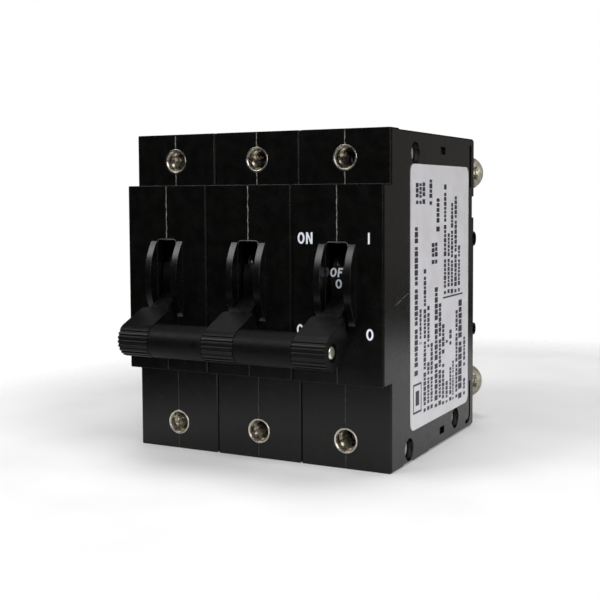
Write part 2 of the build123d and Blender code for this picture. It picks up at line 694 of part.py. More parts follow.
def coil(name, pole_x):
    """Single layer of heavy copper wire wound on the bobbin."""
    height = WIRE_TURNS * WIRE_PITCH
    start = (SPOOL_Z[0] + SPOOL_Z[1] - height) / 2
    with BuildPart() as winding:
        with BuildLine() as wire:
            Helix(WIRE_PITCH, height, WIRE_RING_R, center=(pole_x, COIL_Y, start))
        with BuildSketch(Plane(origin=wire.line @ 0, z_dir=wire.line % 0)):
            Circle(WIRE_R)
        sweep(path=wire.line, is_frenet=True)
    save(name, winding)


def magnet_frame(name, pole_x):
    """Steel L frame in front of and under the coil, with ears for the armature."""
    width = (pole_x - FRAME_HALF, pole_x + FRAME_HALF)
    ear_y = (ARMATURE_AXIS[0] - 1.4, ARMATURE_AXIS[0] + 1.4)
    with BuildPart() as yoke:
        block(width, FRAME_Y, (FRAME_BOTTOM, -8.0))
        block(width, (FRAME_Y[0], COIL_Y + 6), (FRAME_BOTTOM, FRAME_BOTTOM + 1.2))
        for side in (-1, 1):
            ear = (pole_x + side * EAR_X[0], pole_x + side * EAR_X[1])
            block(ear, FRAME_Y, (-8.5, ARMATURE_AXIS[1]))
            cross_rod(ear, ARMATURE_AXIS, 1.4)
        cross_rod((pole_x - 8, pole_x + 8), ARMATURE_AXIS, TRUNNION_R + RUN, Mode.SUBTRACT)
        with BuildSketch(Plane.XY.offset(FRAME_BOTTOM - 1)):
            with Locations((pole_x, COIL_Y)):
                Circle(TUBE_R + RUN)
        extrude(amount=3, mode=Mode.SUBTRACT)
    save(name, yoke)


def armature(name, pole_x):
    """Hinged steel flap over the coil, lifted off the pole piece, with its striker."""
    rear = polar(ARMATURE_AXIS, ARMATURE_REAR, ARMATURE_LIFT)
    front = polar(ARMATURE_AXIS, STRIKER_REACH, 180 + ARMATURE_LIFT)
    with BuildPart() as flap:
        side_plate((pole_x - ARMATURE_HALF, pole_x + ARMATURE_HALF), ARMATURE_AXIS, rear, ARMATURE_THICK)
        side_plate((pole_x - STRIKER_HALF, pole_x + STRIKER_HALF), front, ARMATURE_AXIS, ARMATURE_THICK)
        cross_rod((pole_x - EAR_X[1], pole_x + EAR_X[1]), ARMATURE_AXIS, TRUNNION_R)
    save(name, flap)


def pigtails():
    """Copper braids from the coils to lugs beside the contact arms."""
    lug = (-3.4, -2.4)
    middle = (lug[0] + lug[1]) / 2
    with BuildPart() as braids:
        for x in POLES.values():
            with BuildLine() as route:
                FilletPolyline((x - 6.6, 33.5, -9.0), (x - 6.6, 33.5, -0.8), (x + middle, 33.5, -0.8),
                               (x + middle, 31.2, -0.8), radius=1.0)
            with BuildSketch(Plane(origin=route.line @ 0, z_dir=route.line % 0)):
                Circle(0.6)
            sweep(path=route.line)
            cross_rod((x + lug[0], x + lug[1]), ARM_AXIS, 2.0)
            cross_rod((x - 5, x - 1), ARM_AXIS, PIN_R + RUN, Mode.SUBTRACT)
    save("pigtails", braids)


def arm_springs():
    """Torsion springs on the arm pins that throw the contacts open."""
    with BuildPart() as springs:
        for x in POLES.values():
            start = (x + 2.6, ARM_AXIS[0], ARM_AXIS[1])
            with BuildLine() as wire:
                Helix(0.75, 3.0, 1.75, center=start, direction=(1, 0, 0))
            with BuildSketch(Plane(origin=wire.line @ 0, z_dir=wire.line % 0)):
                Circle(0.3)
            sweep(path=wire.line, is_frenet=True)
    save("arm_springs", springs)


def trip_bar():
    """Bar through all three poles that trips them together, with a lever in each pole."""
    with BuildPart() as bar:
        cross_rod((-TRIP_HALF_LENGTH, TRIP_HALF_LENGTH), TRIP_AXIS, TRIP_R)
        for x in POLES.values():
            side_plate((x - TRIP_LEVER_HALF, x + TRIP_LEVER_HALF), TRIP_AXIS, TRIP_LEVER_TIP, 1.4)
    save("trip_bar", bar)


def rating_label():
    """Printed label on the right-hand side face."""
    face = POLE_PITCH + HALF_WIDTH
    with BuildPart() as label:
        with BuildSketch(Plane.YZ.offset(face)):
            with Locations(((LABEL_Y[0] + LABEL_Y[1]) / 2, (LABEL_Z[0] + LABEL_Z[1]) / 2)):
                RectangleRounded(LABEL_Y[1] - LABEL_Y[0], LABEL_Z[1] - LABEL_Z[0], LABEL_CORNER_R)
        extrude(amount=LABEL_THICK)
    save("rating_label", label)


def build_pole(number, pole_x):
    """Every piece that a pole has to itself."""
    case_half(f"case_left_{number}", pole_x, -1, trip_hole=number > 1)
    case_half(f"case_right_{number}", pole_x, 1, trip_hole=number < 3)
    handle(f"handle_{number}", pole_x, end_side={1: -1, 2: 0, 3: 1}[number])
    link(f"link_{number}", pole_x)
    contact_arm(f"contact_arm_{number}", pole_x)
    moving_contact(f"moving_contact_{number}", pole_x)
    line_terminal(f"line_terminal_{number}", pole_x)
    load_terminal(f"load_terminal_{number}", pole_x)
    dashpot_tube(f"dashpot_tube_{number}", pole_x)
    core(f"core_{number}", pole_x)
    core_spring(f"core_spring_{number}", pole_x)
    bobbin(f"bobbin_{number}", pole_x)
    coil(f"coil_{number}", pole_x)
    magnet_frame(f"magnet_frame_{number}", pole_x)
    armature(f"armature_{number}", pole_x)


os.makedirs("parts", exist_ok=True)
for pole_number, pole_centre in POLES.items():
    build_pole(pole_number, pole_centre)
tie_sleeves()
tie_rod()
fixed_contacts()
terminal_screws()
lock_washers()
arc_plates()
arc_chute_sides()
panel_inserts()
pivot_pins()
through_rivets()
pole_pieces()
pigtails()
arm_springs()
trip_bar()
rating_label()
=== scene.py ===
"""Looks of the three-pole circuit breaker: finishes, printing, fine parts, seams and studio.

Everything is in the row frame of the CAD model, in metres: +X right, +Y into the breaker,
+Z up, with the origin in the middle of the front mounting inserts.
"""
import json
from math import cos, pi, radians, sin, tau

import bmesh
import bpy
from mathutils import Matrix, Vector


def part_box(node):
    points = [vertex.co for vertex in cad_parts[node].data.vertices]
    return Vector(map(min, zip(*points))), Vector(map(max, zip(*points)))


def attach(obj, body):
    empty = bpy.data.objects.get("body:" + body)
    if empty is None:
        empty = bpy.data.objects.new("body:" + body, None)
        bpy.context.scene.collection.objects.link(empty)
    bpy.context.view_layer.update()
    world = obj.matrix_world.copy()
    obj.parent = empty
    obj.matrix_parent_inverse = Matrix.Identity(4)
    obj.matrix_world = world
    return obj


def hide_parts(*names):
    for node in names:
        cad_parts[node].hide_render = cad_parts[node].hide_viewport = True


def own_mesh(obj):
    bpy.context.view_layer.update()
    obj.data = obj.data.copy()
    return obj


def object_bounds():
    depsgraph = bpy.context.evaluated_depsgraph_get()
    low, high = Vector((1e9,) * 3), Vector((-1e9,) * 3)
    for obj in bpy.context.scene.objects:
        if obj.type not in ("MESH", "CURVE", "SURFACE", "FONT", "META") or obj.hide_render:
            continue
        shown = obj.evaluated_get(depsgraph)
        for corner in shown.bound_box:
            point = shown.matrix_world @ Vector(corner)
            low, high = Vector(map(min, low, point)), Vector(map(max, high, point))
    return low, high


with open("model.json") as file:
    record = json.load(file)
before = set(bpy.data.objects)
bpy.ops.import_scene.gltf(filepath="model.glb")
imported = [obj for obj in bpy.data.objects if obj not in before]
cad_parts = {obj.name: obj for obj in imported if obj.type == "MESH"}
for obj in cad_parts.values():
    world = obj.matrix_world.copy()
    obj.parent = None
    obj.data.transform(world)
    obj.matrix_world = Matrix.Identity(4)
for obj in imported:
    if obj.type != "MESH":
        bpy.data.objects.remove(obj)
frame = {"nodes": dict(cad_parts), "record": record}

CAD_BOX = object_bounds()
MM = 0.001
POLES = (1, 2, 3)
LAST = POLES[-1]

# ---- places read from the frame -------------------------------------------------------
SEAT_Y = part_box("panel_inserts")[0].y
FLOOR_Z = CAD_BOX[0].z
POLE_X = {k: sum(corner.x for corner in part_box(f"handle_{k}")) / 2 for k in POLES}

# ---- places that the frame's boxes don't give, as in the CAD model --------------------
BOSS_Y = -3.6 * MM
BOSS_Z = (-15.45 * MM, 21.9 * MM)
CASE_TOP = 32.3 * MM
HANDLE_AXIS = Vector((0, 6.5 * MM, 3.15 * MM))
SLOT_REACH = 7.75 * MM
DRUM_R = 8.75 * MM
HANDLE_THROW = radians(57)
INSERT_Z = 26.9 * MM
INSERT_R = 2.5 * MM
INSERT_BORE_R = 1.98 * MM

# ---- fine parts that only this script draws -------------------------------------------
INSERT_LENGTH = 7.5 * MM
THREAD_PITCH = 0.79 * MM
THREAD_DEPTH = 0.30 * MM
SPRING_WIRE_R = 0.2 * MM
SPRING_TURNS = 6
LIP_R = 0.16 * MM
SCRATCH_R = 0.035 * MM
FLASH_STEP = 0.25 * MM

# ---- camera and studio ----------------------------------------------------------------
CAMERA_PLACE = Vector((103.15, -179.12, 19.72)) * MM
CAMERA_AZIMUTH = radians(27.61)
CAMERA_DOWN = radians(3.49)
CAMERA_ROLL = radians(-0.31)
CAMERA_LENS = 63.02
CAMERA_SHIFT_Y = -0.0667
PAPER_CENTRE = (0.04, 0.05)
PAPER_FADE = (0.11, 0.15)
SURROUND_LIGHT = 0.02
SURROUND_SEEN = 1.0
# Soft lights, each as its place and its width in metres, its power in watts and its colour.
SOFT_LIGHTS = {
    "light_left": ((-0.42, -0.45, 0.55), 0.35, 3.2, (1, 1, 1)),
    "light_right": ((0.62, -0.20, 0.45), 0.40, 3.0, (1, 1, 1)),
    "light_top": ((0.0, 0.05, 0.75), 0.60, 3.8, (1, 1, 1)),
    "light_front": ((0.30, -0.50, 0.16), 0.25, 1.6, (1, 1, 1)),
    "light_back": ((0.30, 0.52, 0.12), 0.36, 0.085, (1.0, 0.94, 0.86)),
}
LIGHTS_AIM = Vector((0, 20 * MM, 0))

# ---- finishes -------------------------------------------------------------------------
CASE_DARK = (0.0014, 0.0013, 0.0012)
CASE_LIGHT = (0.0032, 0.0031, 0.0029)
GRIP_DARK = (0.0017, 0.0016, 0.0015)
GRIP_LIGHT = (0.0034, 0.0032, 0.003)
# Share of the noise at which a finish is fully dark, and fully light.
TONE_SPAN = (0.35, 0.68)
# Painted shade in crevices: brightness of a closed and of an open spot, and how open each of them
# is.
PAINTED_CREVICE_SHADE = (0.04, 1.0, 0.35, 0.85)
# CAD nodes whose finish is a variant of their slot's.
OWN_FINISH = {"through_rivets": "rivet_steel", "tie_sleeves": "sleeve_black"}


# ======================================================================================
# materials
# ======================================================================================
def node(tree, kind, values=None, **settings):
    """New shader node with its settings and its input values."""
    made = tree.nodes.new(kind)
    for key, value in settings.items():
        setattr(made, key, value)
    for key, value in (values or {}).items():
        made.inputs[key].default_value = value
    return made


def noise(tree, scale, detail=3.0, stretch=(1, 1, 1)):
    """Noise over the object's own coordinates; a scale of 1000 repeats about every millimetre."""
    place = node(tree, "ShaderNodeTexCoord")
    sized = node(tree, "ShaderNodeMapping", {"Scale": stretch})
    made = node(tree, "ShaderNodeTexNoise", {"Scale": scale, "Detail": detail})
    tree.links.new(place.outputs["Object"], sized.inputs["Vector"])
    tree.links.new(sized.outputs["Vector"], made.inputs["Vector"])
    return made.outputs["Fac"]


def spread(tree, factor, low, high, start=0.3, end=0.7):
    """Number that goes from low to high as the noise goes from start to end."""
    made = node(tree, "ShaderNodeMapRange",
                {"From Min": start, "From Max": end, "To Min": low, "To Max": high})
    tree.links.new(factor, made.inputs["Value"])
    return made.outputs["Result"]


def two_tone(tree, factor, dark, light):
    """Colour that goes from dark to light with the noise."""
    ramp = node(tree, "ShaderNodeValToRGB")
    for stop, position, colour in zip(ramp.color_ramp.elements, TONE_SPAN, (dark, light)):
        stop.position = position
        stop.color = (*colour, 1)
    tree.links.new(factor, ramp.inputs["Fac"])
    return ramp.outputs["Color"]


def surface(name, dark, light, rough, metallic=0.0, tone_scale=600, grain_scale=5000,
            grain=0.1, grain_depth=0.02, edge=0.0, stretch=(1, 1, 1), specular=0.5, painted_shade_reach=0.0):
    """Procedural finish: two tones, uneven roughness, fine grain, and if asked for rounded edges
    and painted shade that darkens the colour in crevices. Edge, the crevice shade's reach and
    grain_depth are millimetres."""
    material = bpy.data.materials.new(name)
    material.use_nodes = True
    tree = material.node_tree
    bsdf = tree.nodes["Principled BSDF"]
    bsdf.inputs["Metallic"].default_value = metallic
    bsdf.inputs["Specular IOR Level"].default_value = specular
    tone = noise(tree, tone_scale, 4.0, stretch)
    fine = noise(tree, grain_scale, 2.0, stretch)
    colour = two_tone(tree, tone, dark, light)
    if painted_shade_reach:
        # Painted shade: ambient occlusion darkens the base colour in crevices and hollows.
        open_sky = node(tree, "ShaderNodeAmbientOcclusion", {"Distance": painted_shade_reach * MM}, samples=8)
        shaded = node(tree, "ShaderNodeVectorMath", operation="SCALE")
        tree.links.new(colour, shaded.inputs[0])
        shade = spread(tree, open_sky.outputs["AO"], *PAINTED_CREVICE_SHADE)
        tree.links.new(shade, shaded.inputs["Scale"])
        colour = shaded.outputs["Vector"]
    tree.links.new(colour, bsdf.inputs["Base Color"])
    tree.links.new(spread(tree, tone, *rough), bsdf.inputs["Roughness"])
    bump = node(tree, "ShaderNodeBump", {"Strength": grain, "Distance": grain_depth * MM})
    tree.links.new(fine, bump.inputs["Height"])
    if edge:
        rounded = node(tree, "ShaderNodeBevel", {"Radius": edge * MM}, samples=6)
        tree.links.new(rounded.outputs["Normal"], bump.inputs["Normal"])
    tree.links.new(bump.outputs["Normal"], bsdf.inputs["Normal"])
    return material


def make_materials():
    """One finish for each of the record's slots, their variants, and the inks; one variant is the
    insert brass painted darker as shade for the bore.
    """
    return {
        "case_black": surface("case_black", CASE_DARK, CASE_LIGHT, (0.25, 0.28), tone_scale=450,
                              grain_scale=4200, grain=0.08, edge=0.13, specular=0.30),
        "handle_black": surface("handle_black", GRIP_DARK, GRIP_LIGHT, (0.32, 0.42),
                                tone_scale=900, grain_scale=3600, grain=0.2, edge=0.12,
                                specular=0.18),
        "sleeve_black": surface("sleeve_black", GRIP_DARK, GRIP_LIGHT, (0.42, 0.54),
                                tone_scale=900, grain_scale=3600, grain=0.2, edge=0.12,
                                specular=0.10),
        "insert_brass": surface("insert_brass", (0.55, 0.52, 0.46), (0.70, 0.66, 0.59),
                                (0.22, 0.36), metallic=1.0, tone_scale=1500, edge=0.08),
        # Insert brass painted darker for the threads in the bore: painted shade, with painted
        # crevice shade on top.
        "insert_bore_painted_shade": surface("insert_bore_painted_shade", (0.26, 0.23, 0.19), (0.46, 0.42, 0.35),
                               (0.16, 0.28), metallic=1.0, tone_scale=1500, painted_shade_reach=0.5),
        # Painted shade darkens the gaps between the lock washers' teeth and under the screw
        # heads.
        "zinc_steel": surface("zinc_steel", (0.64, 0.61, 0.52), (0.90, 0.87, 0.78),
                              (0.30, 0.44), metallic=1.0, tone_scale=1200, painted_shade_reach=0.7),
        "rivet_steel": surface("rivet_steel", (0.80, 0.79, 0.76), (0.92, 0.91, 0.88),
                               (0.50, 0.62), metallic=1.0, tone_scale=1200, edge=0.10),
        "steel": surface("steel", (0.62, 0.62, 0.63), (0.71, 0.71, 0.72), (0.22, 0.32),
                         metallic=1.0, tone_scale=1500, edge=0.08),
        "strap_metal": surface("strap_metal", (0.60, 0.59, 0.56), (0.71, 0.70, 0.66),
                               (0.28, 0.46), metallic=1.0, tone_scale=700, edge=0.10),
        "copper": surface("copper", (0.50, 0.20, 0.10), (0.74, 0.36, 0.20), (0.24, 0.42),
                          metallic=1.0, tone_scale=900),
        "silver_contact": surface("silver_contact", (0.66, 0.66, 0.64), (0.84, 0.84, 0.82),
                                  (0.25, 0.45), metallic=1.0, tone_scale=1400, edge=0.08),
        "magnet_iron": surface("magnet_iron", (0.26, 0.26, 0.27), (0.42, 0.42, 0.42),
                               (0.35, 0.55), metallic=1.0, tone_scale=800, edge=0.10),
        "fibre": surface("fibre", (0.20, 0.10, 0.05), (0.32, 0.18, 0.09), (0.7, 0.85),
                         tone_scale=700, grain=0.5, stretch=(1, 1, 6)),
        "spool_plastic": surface("spool_plastic", (0.50, 0.46, 0.36), (0.60, 0.56, 0.46),
                                 (0.4, 0.55), tone_scale=500, edge=0.12),
        "label": surface("label", (0.60, 0.59, 0.61), (0.66, 0.65, 0.67), (0.38, 0.50),
                         tone_scale=260, grain_scale=2600, grain=0.08),
        "white_ink": surface("white_ink", (0.66, 0.70, 0.78), (0.80, 0.84, 0.90), (0.5, 0.65),
                             tone_scale=2600, grain=0.3),
        "label_ink": surface("label_ink", (0.010, 0.010, 0.022), (0.030, 0.030, 0.052),
                             (0.45, 0.6), tone_scale=2200, grain=0.2),
        "case_edge": surface("case_edge", (0.010, 0.0098, 0.009), (0.030, 0.029, 0.027),
                             (0.25, 0.40), tone_scale=900, grain=0.2),
        "seam_flash": surface("seam_flash", (0.06, 0.058, 0.052), (0.30, 0.29, 0.27),
                              (0.45, 0.65), tone_scale=1100, grain=0.4),
    }


def dress_nodes():
    """Each CAD node takes the finish of its slot in the record, or a variant of its own."""
    for part in frame["record"]["subparts"]:
        shown = frame["nodes"][part["node"]].data
        shown.materials.clear()
        finish = OWN_FINISH.get(part["node"], part["material_slot"])
        shown.materials.append(MATERIALS[finish])


# ======================================================================================
# mesh helpers
# ======================================================================================
def piece(name, mesh_maker, material, body, smooth=None):
    """New mesh object, drawn by mesh_maker(bm) in the row frame, that rides on a body."""
    bm = bmesh.new()
    mesh_maker(bm)
    bmesh.ops.recalc_face_normals(bm, faces=bm.faces)
    mesh = bpy.data.meshes.new(name)
    bm.to_mesh(mesh)
    bm.free()
    made = bpy.data.objects.new(name, mesh)
    bpy.context.scene.collection.objects.link(made)
    mesh.materials.append(MATERIALS[material])
    if smooth:
        mesh.shade_smooth()
        mesh.set_sharp_from_angle(angle=radians(smooth))
    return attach(made, body)


def box(bm, centre, size, axes=None):
    """Closed box about a centre, with its sides along the given axes."""
    turned = Matrix.Identity(4) if axes is None else axes.to_4x4()
    scaled = Matrix.Diagonal((*size, 1))
    bmesh.ops.create_cube(bm, size=1, matrix=Matrix.Translation(centre) @ turned @ scaled)


def ring_faces(bm, rings, closed_ends=True, loop=False):
    """Quads between neighbouring rings of vertices; each ring is closed on itself."""
    pairs = list(zip(rings, rings[1:]))
    if loop:
        pairs.append((rings[-1], rings[0]))
    for low, high in pairs:
        count = len(low)
        for i in range(count):
            bm.faces.new((low[i], low[(i + 1) % count], high[(i + 1) % count], high[i]))
    if closed_ends and not loop:
        bm.faces.new(rings[0])
        bm.faces.new(rings[-1])


def lathe(bm, x, z, profile, steps=48, loop=False):
    """Solid of revolution about a line along Y; the profile is a list of (y, radius)."""
    rings = []
    for y, radius in profile:
        if radius < 1e-7:
            rings.append([bm.verts.new((x, y, z))])
            continue
        turns = [tau * i / steps for i in range(steps)]
        rings.append([bm.verts.new((x + radius * cos(a), y, z + radius * sin(a))) for a in turns])
    pairs = list(zip(rings, rings[1:]))
    if loop:
        pairs.append((rings[-1], rings[0]))
    for low, high in pairs:
        for i in range(steps):
            j = (i + 1) % steps
            corners = ((low, i), (low, j), (high, j), (high, i))
            bm.faces.new(list(dict.fromkeys(ring[m % len(ring)] for ring, m in corners)))


def thread(bm, x, z, start, end, root, crest, pitch, steps=28):
    """Helical ridge of triangular section about a line along Y, from the root to the crest."""
    turns = (end - start) / pitch
    count = int(turns * steps)
    rings = []
    for i in range(count + 1):
        share = i / count
        angle = tau * turns * share
        fade = min(1, 8 * share, 8 * (1 - share))
        tip = root + (crest - root) * fade
        y = start + (end - start) * share
        section = ((root, y - 0.42 * pitch), (tip, y), (root, y + 0.42 * pitch))
        points = [(x + r * cos(angle), d, z + r * sin(angle)) for r, d in section]
        rings.append([bm.verts.new(point) for point in points])
    ring_faces(bm, rings)


# ======================================================================================
# printing
# ======================================================================================
STROKE = 0.2                 # stroke of a letter, as a share of its height
FILM = 0.02 * MM             # ink's height over the plastic, and its depth into it
LABEL_FILM = 0.03 * MM       # whole thickness of the label's ink
LABEL_PROUD = 0.004 * MM     # how far that stands out of the label


def letter_o(width):
    """Ring quads of an O in a box of that width and a height of 1."""
    steps = 36
    quads = []
    for i in range(steps):
        corners = []
        for turn, scale in ((i, 1), (i + 1, 1), (i + 1, 0), (i, 0)):
            angle = tau * turn / steps
            reach = (width / 2 - (0 if scale else STROKE), 0.5 - (0 if scale else STROKE * 0.9))
            corners.append((width / 2 + reach[0] * cos(angle), 0.5 + reach[1] * sin(angle)))
        quads.append(corners)
    return quads


def upright(x, low=0.0, high=1.0, width=STROKE):
    """Quad of an upright stroke that starts at x."""
    return [(x, low), (x + width, low), (x + width, high), (x, high)]


def glyph(letter):
    """Width and quads of a letter, in a height of 1."""
    if letter == "O":
        return 0.78, letter_o(0.78)
    if letter == "I":
        return STROKE, [upright(0)]
    if letter == "F":
        bars = [upright(STROKE, 1 - STROKE, 1, 0.38), upright(STROKE, 0.42, 0.42 + STROKE, 0.30)]
        return 0.58, [upright(0), *bars]
    slant = [(STROKE, 1), (STROKE, 0.66), (0.72 - STROKE, 0), (0.72 - STROKE, 0.34)]
    return 0.72, [upright(0), upright(0.72 - STROKE), slant]


def word_quads(word, height, narrow=0.86, gap=0.16):
    """Quads of a word centred on the origin, with its real height."""
    quads = []
    cursor = 0.0
    for letter in word:
        width, parts = glyph(letter)
        quads += [[((cursor + u), v) for u, v in part] for part in parts]
        cursor += width + gap
    middle = (cursor - gap) / 2
    return [[((u - middle) * narrow * height, (v - 0.5) * height) for u, v in q] for q in quads]


def ink(bm, quads, place, splits=4):
    """Thin closed film of ink over quads, laid on a surface by place(u, v, height)."""
    for quad in quads:
        corners = [Vector(c) for c in quad]
        grids = []
        for height in (FILM, -FILM):
            grid = []
            for i in range(splits + 1):
                left = corners[0].lerp(corners[3], i / splits)
                right = corners[1].lerp(corners[2], i / splits)
                row = [left.lerp(right, j / 2) for j in range(3)]
                grid.append([bm.verts.new(place(p.x, p.y, height)) for p in row])
            grids.append(grid)
        close_film(bm, *grids)


def close_film(bm, top, bottom):
    """Faces of a thin film between two grids of vertices."""
    rows, columns = len(top), len(top[0])
    for grid in (top, bottom):
        for i in range(rows - 1):
            for j in range(columns - 1):
                bm.faces.new((grid[i][j], grid[i][j + 1], grid[i + 1][j + 1], grid[i + 1][j]))
    rim = [(0, j) for j in range(columns)] + [(i, columns - 1) for i in range(1, rows)]
    rim += [(rows - 1, j) for j in range(columns - 2, -1, -1)]
    rim += [(i, 0) for i in range(rows - 2, 0, -1)]
    for (i, j), (k, m) in zip(rim, rim[1:] + rim[:1]):
        bm.faces.new((top[i][j], top[k][m], bottom[k][m], bottom[i][j]))


def print_boss():
    """Position marks on the front of the last pole: place across and up, and height."""
    marks = {
        "ON": (-6.6, 11.8, 2.2), "I": (6.5, 11.9, 2.1),
        "OFF": (-6.4, -5.6, 2.1), "O": (6.67, -5.78, 2.15),
    }

    def draw(bm):
        for word, (x, z, height) in marks.items():
            def place(u, v, out, x=x, z=z):
                return (POLE_X[LAST] + x * MM + u, BOSS_Y - out, z * MM + v)
            ink(bm, word_quads(word, height * MM), place)
    piece("position_marks", draw, "white_ink", "casing")


def print_drum():
    """Marks on the drum of the last handle, which show in the slot as it swings."""
    word_rise, letter_rise = radians(14.7), radians(0.7)
    aside, height = -0.25 * MM, 1.75 * MM
    rows = [("OFF", word_rise), ("O", letter_rise),
            ("I", -letter_rise - HANDLE_THROW), ("ON", -word_rise - HANDLE_THROW)]

    def draw(bm):
        for word, rise in rows:
            def place(u, v, out, rise=rise):
                angle = rise + v / DRUM_R
                reach = DRUM_R + out
                return (POLE_X[LAST] + aside + u, HANDLE_AXIS.y - reach * cos(angle),
                        HANDLE_AXIS.z + reach * sin(angle))
            ink(bm, word_quads(word, height, narrow=0.95), place)
    piece("drum_marks", draw, "white_ink", "handles")


# ---- generic printing on the rating label ---------------------------------------------
# Columns of stand-in text: depth from the label's front edge, where the column starts and
# ends up the label, height of its characters and how bold it is. All are millimetres.
LABEL_COLUMNS = [
    (2.9, 10.6, 40.3, 1.45, 0.85), (5.2, 16.5, 24.0, 1.15, 0.6), (7.6, 2.6, 31.9, 1.25, 0.7),
    (9.6, 2.6, 12.6, 1.15, 0.7), (9.6, 15.4, 24.4, 1.15, 0.7), (11.5, 2.6, 16.9, 1.15, 0.7),
    (14.1, 2.4, 27.2, 1.45, 0.85), (16.3, 2.4, 23.9, 1.25, 0.75), (18.3, 2.2, 10.8, 1.25, 0.8),
    (18.3, 12.9, 19.9, 1.25, 0.8), (20.5, 2.2, 6.9, 1.15, 0.7), (20.5, 14.9, 16.7, 1.15, 0.8),
    (22.8, 2.2, 9.7, 1.2, 0.7), (22.8, 14.2, 17.8, 1.2, 0.8), (24.5, 2.2, 10.8, 0.95, 0.65),
    (26.7, 2.2, 21.9, 1.2, 0.75), (29.0, 1.7, 23.0, 1.8, 0.9), (31.8, 2.0, 5.6, 1.2, 0.7),
    (31.8, 8.4, 15.4, 1.2, 0.7), (19.3, 25.3, 47.9, 1.35, 0.7), (21.5, 25.3, 38.6, 1.15, 0.7),
    (23.6, 25.1, 44.4, 1.25, 0.75), (25.9, 25.1, 45.8, 1.3, 0.75), (28.1, 25.1, 35.6, 1.25, 0.7),
    (15.0, 38.5, 46.4, 1.6, 0.85), (10.8, 44.0, 49.4, 1.35, 0.8), (12.2, 32.0, 36.4, 1.3, 0.8),
    (14.0, 32.0, 36.4, 1.3, 0.8), (3.3, 44.2, 49.0, 1.2, 0.8), (5.1, 44.2, 49.0, 1.2, 0.8),
    (6.9, 44.2, 49.0, 1.2, 0.8),
]
# Ruled lines, each as its extent in depth and its extent up the label.
LABEL_RULES = [
    ((1.3, 5.8), (3.1, 3.5)), ((1.3, 5.8), (8.6, 9.0)), ((1.3, 1.7), (3.5, 8.6)),
    ((5.4, 5.8), (3.5, 8.6)), ((2.6, 4.5), (4.6, 7.5)), ((18.1, 30.6), (24.4, 24.75)),
]


def stand_in_text(bm, column, surface_x, front, low, order):
    """Column of blocks that read as small print from afar but spell nothing. A fixed wave
    gives each block its width and its height, and splits some of the thin ones in two."""
    depth, start, end, height, bold = column
    cursor = start
    count = 0
    while cursor < end - 0.6 * height:
        wave = sin(12.9898 * (count + 1) + 78.233 * (order + 1)) * 43758.5453
        chance = wave % 1.0
        width = height * (0.42 + 0.36 * chance)
        tall = height * (1.05 if chance < 0.55 else 1.25)
        centre = Vector((surface_x, front + depth * MM, low + (cursor + width / 2) * MM))
        if chance > 0.25 or bold > 0.6:
            box(bm, centre, (LABEL_FILM, tall * min(1, 1.3 * bold) * MM, width * MM))
        else:
            for part in (-0.3, 0.3):
                offset = Vector((0, part * tall * MM, 0))
                box(bm, centre + offset, (LABEL_FILM, 0.3 * tall * MM, width * MM))
        cursor += width + height * (0.13 if count % 7 else 0.5)
        count += 1


def print_label():
    """Stand-in print, a ruled box with a bar in it, and a rule on the rating label."""
    low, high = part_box("rating_label")
    middle = high.x + LABEL_PROUD - LABEL_FILM / 2

    def rule(bm, y, z):
        size = (LABEL_FILM, (y[1] - y[0]) * MM, (z[1] - z[0]) * MM)
        centre = (middle, low.y + sum(y) / 2 * MM, low.z + sum(z) / 2 * MM)
        box(bm, Vector(centre), size)

    def draw(bm):
        for order, column in enumerate(LABEL_COLUMNS):
            stand_in_text(bm, column, middle, low.y, low.z, order)
        for y, z in LABEL_RULES:
            rule(bm, y, z)
    piece("label_print", draw, "label_ink", "casing")


# ======================================================================================
# fine parts
# ======================================================================================
def build_inserts():
    """Threaded inserts with a rolled rim and a countersunk mouth, and the threads in them, whose
    colour is darker brass as painted shade.
    """
    profile = [
        (SEAT_Y + 0.10 * MM, INSERT_R), (SEAT_Y + 0.02 * MM, INSERT_R - 0.08 * MM),
        (SEAT_Y, INSERT_R - 0.20 * MM), (SEAT_Y + 0.04 * MM, INSERT_R - 0.32 * MM),
        (SEAT_Y + 0.30 * MM, INSERT_BORE_R + 0.02 * MM), (SEAT_Y + 0.4 * MM, INSERT_BORE_R),
        (SEAT_Y + INSERT_LENGTH, INSERT_BORE_R), (SEAT_Y + INSERT_LENGTH, INSERT_R),
    ]
    places = [(x, z) for x in POLE_X.values() for z in (INSERT_Z, -INSERT_Z)]

    def draw_bodies(bm):
        for x, z in places:
            lathe(bm, x, z, profile, steps=64, loop=True)

    def draw_threads(bm):
        for x, z in places:
            thread(bm, x, z, SEAT_Y + 0.6 * MM, SEAT_Y + INSERT_LENGTH - 0.4 * MM,
                   INSERT_BORE_R + 0.01 * MM, INSERT_BORE_R - THREAD_DEPTH, THREAD_PITCH)
    made = piece("threaded_inserts", draw_bodies, "insert_brass", "casing",
                 smooth=28)
    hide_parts("panel_inserts")
    # The threads take the darker insert colour, painted as shade in the bore.
    piece("insert_threads", draw_threads, "insert_bore_painted_shade", "casing", smooth=28)


def flash_line(bm, x, y, low, high, order):
    """Wavy ridge of moulding flash up a seam, on a face that looks to -Y. Its sway, width and
    height go by waves of the place up the seam, each shifted by the seam's order."""
    steps = int((high - low) / FLASH_STEP)
    rings = []
    for i in range(steps + 1):
        z = low + (high - low) * i / steps
        share = z / MM
        sway = 0.05 * sin(1.9 * share + order) + 0.035 * sin(4.7 * share + 2 * order)
        half = 0.10 + 0.04 * sin(3.1 * share + 3 * order) + 0.02 * sin(8.3 * share)
        proud = 0.035 + 0.02 * sin(2.3 * share + 1.3 * order)
        section = ((sway - half, 0.02), (sway, -proud), (sway + half, 0.02))
        rings.append([bm.verts.new((x + a * MM, y + b * MM, z)) for a, b in section])
    ring_faces(bm, rings)


